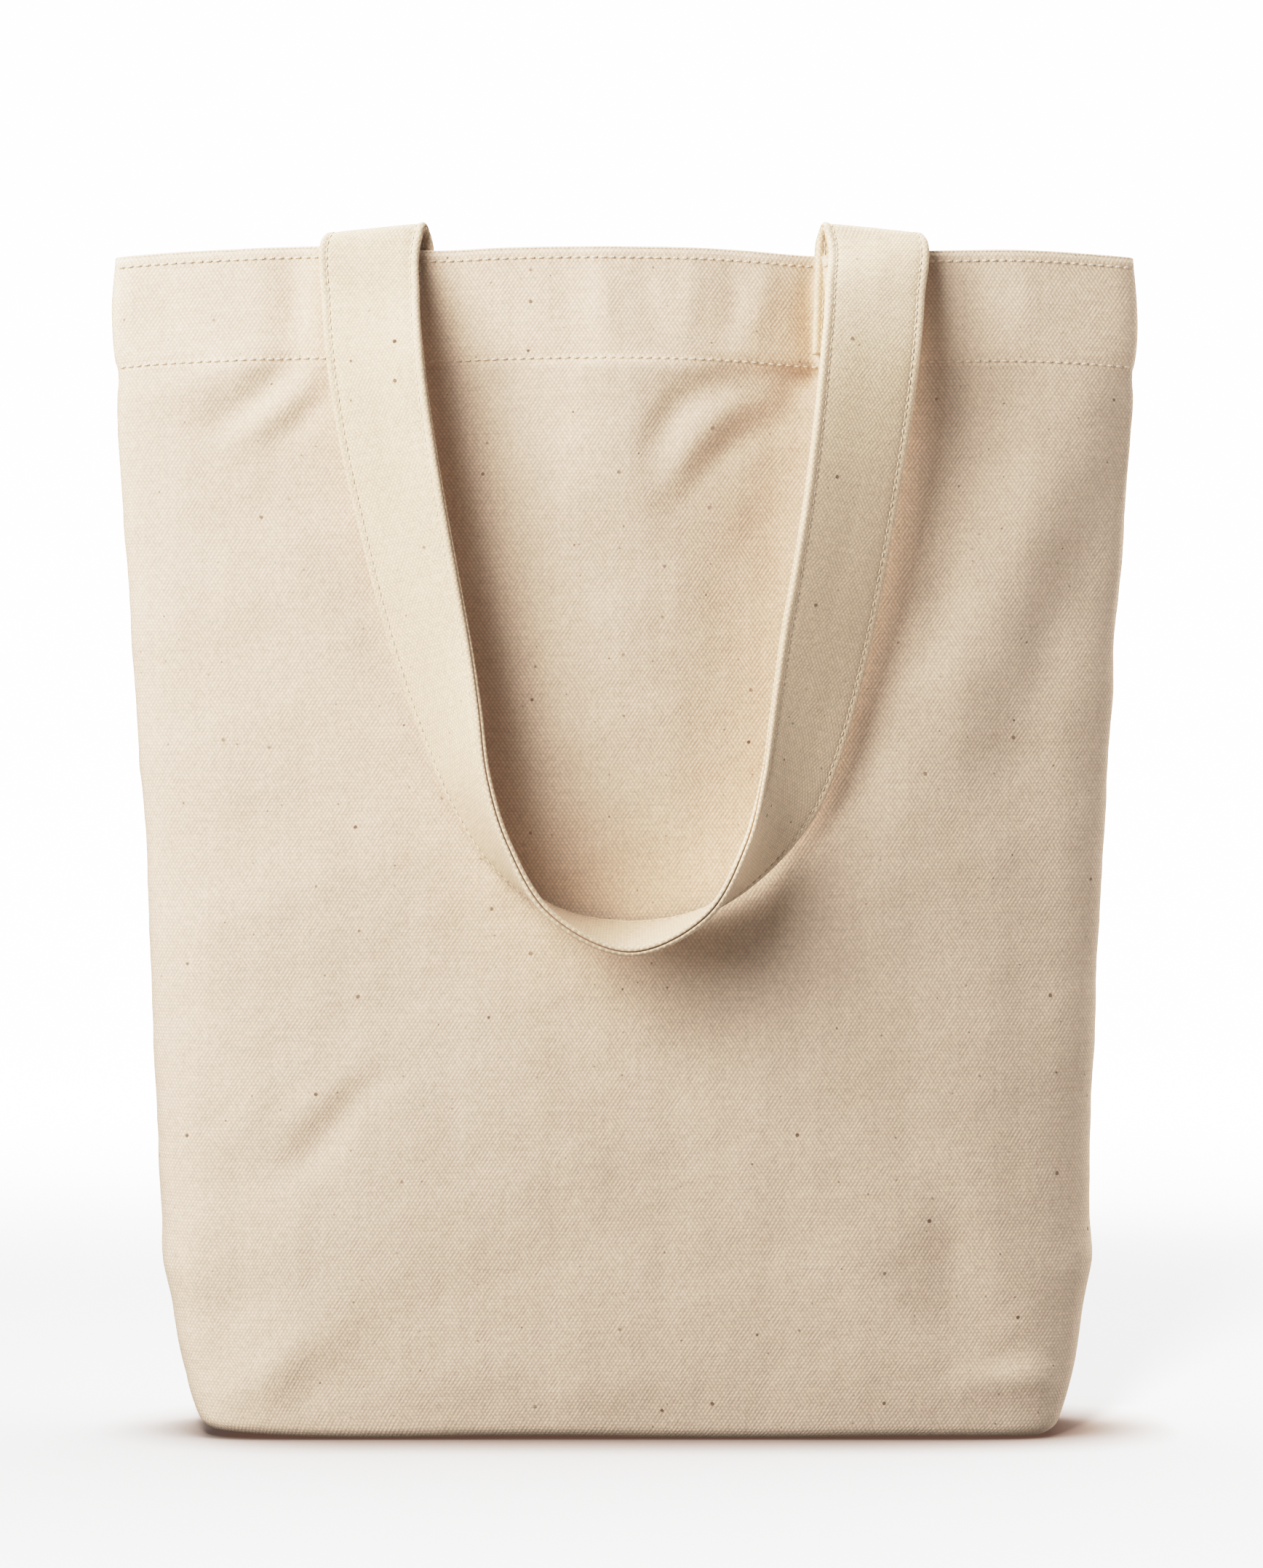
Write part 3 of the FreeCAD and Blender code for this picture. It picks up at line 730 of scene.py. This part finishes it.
def end_edges(sign, count=14):
    """The handle's end inside the hem and its bend over the edge, as outer and inner edge points, from the
    foot of the end to the top of the leg. sign is -1 for the left leg."""
    outer, inner = [], []
    for z in np.linspace(395, 436, count):
        y = TAIL_Y - (436.8 - z) * LEAN
        x = sign * (89.2 + (436 - z) * -0.04)
        outer.append((x + sign * STRAP_W / 2, y, z))
        inner.append((x - sign * STRAP_W / 2, y, z))
    radius, centre = (TAIL_Y - LEG_Y) / 2, (TAIL_Y + LEG_Y) / 2
    for a in np.linspace(0.12, 2.6, count):
        y, z = centre + radius * math.cos(a), BEND_Z + radius * math.sin(a)
        x = sign * (89.2 + 3.2 * a / math.pi)
        tilt = 1.9 * math.sin(a) ** 0.7
        outer.append((x + sign * STRAP_W / 2, y, z - tilt))
        inner.append((x - sign * STRAP_W / 2, y, z + tilt))
    return outer, inner


def handle_edges():
    left, right = end_edges(-1), end_edges(1)
    outer = left[0] + LOOP[1:-1, 0].tolist() + right[0][::-1]
    inner = left[1] + LOOP[1:-1, 1].tolist() + right[1][::-1]
    return np.array(outer), np.array(inner)


def even(points, guide, spacing):
    """Points resampled evenly by the guide's length, smoothly."""
    run = np.concatenate([[0], np.cumsum(np.linalg.norm(np.diff(guide, axis=0), axis=1))])
    at = np.linspace(0, run[-1], int(run[-1] / spacing))
    return np.array([smooth(at, list(zip(run, points[:, k]))) for k in range(3)]).T


def handle_frames(spacing=1.1):
    """Along the strap: its middle, the directions across it and out of its face, the length so far, and how
    narrow it is gathered (1 is flat)."""
    outer, inner = handle_edges()
    guide = (outer + inner) / 2
    outer, inner = even(outer, guide, spacing), even(inner, guide, spacing)
    middle = (outer + inner) / 2
    along = np.gradient(middle, axis=0)
    along /= np.linalg.norm(along, axis=1, keepdims=True)
    across = inner - outer
    across /= np.linalg.norm(across, axis=1, keepdims=True)
    out = np.cross(along, across)
    out /= np.linalg.norm(out, axis=1, keepdims=True)
    if out[len(out) // 4, 1] > 0:
        out = -out
    run = np.concatenate([[0], np.cumsum(np.linalg.norm(np.diff(middle, axis=0), axis=1))])
    span = np.linalg.norm(inner - outer, axis=1)
    window = np.hanning(19)
    narrow = np.convolve(np.minimum(span / STRAP_W, 1), window / window.sum(), mode="same")
    # the ends, sewn flat inside the hem
    narrow[:18] = narrow[-18:] = 1
    return middle, across, out, run, np.minimum(narrow, 1)


HALF_W, HALF_T = STRAP_W / 2, STRAP_T / 2
EDGE_ROW = 3.1      # from the strap's edge to its row of stitches
UNDERSIDE = 60      # how far along the cloth's pattern the strap's other face is
SINK = 9.0          # how deep the strap's middle would sink if it were gathered to nothing


def gathered(across, out, narrow):
    """A point of the flat section, moved to where it is when the strap is narrowed and its middle sinks."""
    sink = SINK * (1 - narrow)
    return across * narrow, out - sink * (1 - (across / HALF_W) ** 2)


def strap_section(at):
    """Points of the flat section going round, as (across, out), for a place along the strap."""
    ripple = 0.10 * math.sin(at / 31.0) + 0.07 * math.sin(at / 12.3 + 1)
    edge = np.linspace(0, 0.5 * math.pi, 6)
    top = [(-HALF_W + HALF_T * (1 - math.cos(a)), HALF_T * math.sin(a)) for a in edge]
    for c, t in ((2.1, 1.0), (2.7, 0.86), (3.1, 0.74), (3.5, 0.84), (4.6, 0.93), (7.0, 0.98), (10.5, 1.0)):
        top.append((-HALF_W + c, HALF_T * t))
    for c in np.linspace(-6.4, 6.4, 9):
        top.append((c, HALF_T * (0.98 - 0.02 * bell(c, 4) + ripple * bell(c, 3.6))))
    for c, t in ((10.5, 1.0), (7.0, 0.98), (4.6, 0.95), (3.7, 0.88), (3.2, 0.80), (2.8, 0.92), (2.2, 1.12)):
        top.append((HALF_W - c, HALF_T * t))
    # the inner edge is thicker: two folded edges, with a slit between them
    top += [(HALF_W - 1.55, 1.78), (HALF_W - 0.9, 1.72), (HALF_W - 0.38, 1.40), (HALF_W - 0.08, 0.98),
            (HALF_W - 0.02, 0.62), (HALF_W - 0.16, 0.28)]
    slit = [(HALF_W - 0.7, 0.13), (HALF_W - 2.3, 0.04)]
    return np.array(top + slit + [(c, -t) for c, t in (top[1:] + slit)[::-1]])


def build_handle(face):
    front_side = face == "front"
    turn = (lambda p: p) if front_side else half_turn
    pattern = STRAP_PATTERN + (0 if front_side else SECOND_STRAP)
    middle, across, out, run, narrow = handle_frames()
    rings, uv = [], []
    for i in range(len(middle)):
        section = strap_section(run[i])
        lying = [gathered(c, h, narrow[i]) for c, h in section]
        ring = [middle[i] + across[i] * c + out[i] * h for c, h in lying]
        rings.append(turn(np.array(ring)))
        around = np.array([c + (0 if h >= 0 else UNDERSIDE) for c, h in section])
        uv.append([(a + pattern, run[i]) for a in around])
    strap = tube_along(f"{face}_handle", np.array(rings), np.array(uv), STRAP)
    ends = [f"{face}_{side}_{part}" for side in ("left", "right") for part in ("tail", "fold")]
    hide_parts(f"{face}_handle_strap", *ends)

    rows = []
    for label, place in (("inner", HALF_W - EDGE_ROW), ("outer", -HALF_W + EDGE_ROW)):
        runs = []
        for s in (1, -1):
            beside, above = gathered(place, s * HALF_T * 0.78, narrow)
            line = middle + across * beside[:, None] + out * above[:, None]
            flip = 1 if front_side else BACK
            runs.append((turn(line), out * s * flip))
        thread = stitches(f"{face}_handle_{label}_thread", runs, THREAD, length=2.3, radius=0.30, pitch=3.0)
        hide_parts(f"{face}_handle_{label}_stitch")
        rows.append(thread)
    return strap, rows


handles = {face: build_handle(face) for face in ("front", "back")}


# ---------------------------------------------------------------- what moves with what

for face, made, sign in (("front", front, 1), ("back", back, -1)):
    wall, handle = f"{face}_wall", f"{face}_handle"
    for key in ("cloth", "hem", "hem_top_stitch", "hem_lower_stitch"):
        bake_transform(made[key])
    for key in ("box_left", "box_right"):
        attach(made[key], wall)
    for piece in [handles[face][0]] + handles[face][1]:
        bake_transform(piece)


# ---------------------------------------------------------------- floor, light and camera

def studio():
    """A white floor that curves up into the backdrop. Its glow is for the eye only, so that the bag keeps its
    contrast.
    Painted shade close round the bag and a painted warm glow under its edge are added to it."""
    n = Nodes("pale_floor")
    eye = n.tree.nodes.new("ShaderNodeLightPath").outputs["Is Camera Ray"]
    # painted shade: an occlusion test darkens the floor's colour, warmly, close round the bag, and least on
    # the side that the light comes from
    sky_side = n.add("ShaderNodeCombineXYZ", X=-0.34, Y=-0.06, Z=0.94)
    open_sky = n.add("ShaderNodeAmbientOcclusion", output="AO", settings={"samples": 12}, Distance=0.045,
                     Normal=sky_side)
    painted_shade_tint = n.add("ShaderNodeCombineColor", Red=n.math("POWER", open_sky, 1.7),
                 Green=n.math("POWER", open_sky, 2.0), Blue=n.math("POWER", open_sky, 2.2))
    shaded = n.mix(1.0, (0.95, 0.95, 0.955, 1), painted_shade_tint, "MULTIPLY")
    n.put(n.shader.inputs["Base Color"], n.mix(eye, (0.27, 0.252, 0.228, 1), shaded))
    n.shader.inputs["Roughness"].default_value = 0.9
    n.shader.inputs["Specular IOR Level"].default_value = 0.1
    # painted light: where the bag is near, the floor's glow is tinted warm
    n.put(n.shader.inputs["Emission Color"], n.mix(open_sky, (1, 0.55, 0.37, 1), (1, 1, 1, 1)))
    away = n.add("ShaderNodeVectorMath", output="Value", settings={"operation": "LENGTH"},
                 Vector=n.add("ShaderNodeNewGeometry"))
    glow = n.ramp(away, 0.5, 2.0, 0.09, 2.6)
    # painted light: a little warm glow is added to the floor under the bag's edge
    glow = n.math("MULTIPLY_ADD", n.math("SUBTRACT", 1.0, open_sky), 0.07, glow)
    n.put(n.shader.inputs["Emission Strength"], n.math("MULTIPLY", eye, glow))
    bend = [(2600 + 900 * math.sin(a), 900 * (1 - math.cos(a))) for a in np.linspace(0, math.pi / 2, 16)[1:]]
    profile = [(-2600, 0), (2600, 0)] + bend + [(3500, 4200)]
    points = np.array([[(x, y, z) for x in np.linspace(-4200, 4200, 3)] for y, z in profile], float)
    floor = new_mesh("floor", points.reshape(-1, 3), grid_faces(len(profile), 3), None, n.material)
    return floor


def area_light(name, place, target, size, power, colour=(1, 1, 1)):
    data = bpy.data.lights.new(name, "AREA")
    data.shape = "RECTANGLE"
    data.size, data.size_y = size
    data.energy = power
    data.color = colour
    light = bpy.data.objects.new(name, data)
    light.location = place
    aim = np.array(target, float) - np.array(place, float)
    yaw = math.atan2(aim[0], aim[1])
    pitch = math.atan2(math.hypot(aim[0], aim[1]), -aim[2])
    light.rotation_euler = (pitch, 0, -yaw)
    bpy.context.scene.collection.objects.link(light)
    return light


def linked(name, thing, state):
    """A group for a light: only thing is lit (INCLUDE), or all but it (EXCLUDE)."""
    group = bpy.data.collections.new(name)
    group.objects.link(thing)
    group.collection_objects[0].light_linking.link_state = state
    return group


floor = studio()
key = area_light("key", (-0.80, -0.80, 0.75), (0, 0, 0.22), (1.05, 1.05), 22.6)
key.light_linking.receiver_collection = linked("all_but_floor", floor, "EXCLUDE")
sweep = area_light("floor_key", (-0.37, -2.2, 1.6), (0, 0.1, 0), (0.34, 0.3), 64)
sweep.light_linking.receiver_collection = linked("only_floor", floor, "INCLUDE")
area_light("overhead", (0.1, 0.75, 2.3), (0.1, 0.6, 0), (2.6, 2.2), 75)
area_light("fill", (1.5, -1.5, 0.45), (0, 0, 0.2), (1.4, 0.7), 0.45, (1.0, 0.92, 0.83))
area_light("rim", (1.3, 0.35, 0.32), (0.1, 0, 0.22), (1.0, 0.55), 10.8, (1.0, 1.0, 1.0))

world = bpy.data.worlds.new("studio_white")
world.use_nodes = True
world.node_tree.nodes["Background"].inputs["Color"].default_value = (1, 1, 1, 1)
backdrop = world.node_tree.nodes["Background"]
seen = world.node_tree.nodes.new("ShaderNodeLightPath")
white = world.node_tree.nodes.new("ShaderNodeMapRange")
for socket, number in zip(white.inputs, (0, 0, 1, 0.02, 2.6)):
    socket.default_value = number
world.node_tree.links.new(seen.outputs["Is Camera Ray"], white.inputs[0])
world.node_tree.links.new(white.outputs[0], backdrop.inputs["Strength"])
bpy.context.scene.world = world

# the way film takes light: highlights roll off into white, deep shadows fall away a little
view = bpy.context.scene.view_settings
view.view_transform = "Standard"
view.use_curve_mapping = True
response = view.curve_mapping
response.white_level = (4, 4, 4)
tone = response.curves[3]
for scene_light, shown in ((0.1, 0.07), (0.2, 0.168), (0.3, 0.28), (0.4, 0.392), (0.5, 0.5), (0.6, 0.592),
                           (0.77, 0.70), (0.96, 0.79), (1.3, 0.88), (2.0, 0.955), (3.0, 0.99)):
    tone.points.new(scene_light / 4, shown)
response.update()

camera_data = bpy.data.cameras.new("camera")
camera_data.sensor_fit = "VERTICAL"
camera_data.sensor_height = 36.0
camera_data.lens = 18.0 / (0.2896 / 1.8)
camera = bpy.data.objects.new("camera", camera_data)
camera.location = (0.0027, -1.8, 0.2375)
camera.rotation_euler = (math.pi / 2, 0, 0)
bpy.context.scene.collection.objects.link(camera)
bpy.context.scene.camera = camera
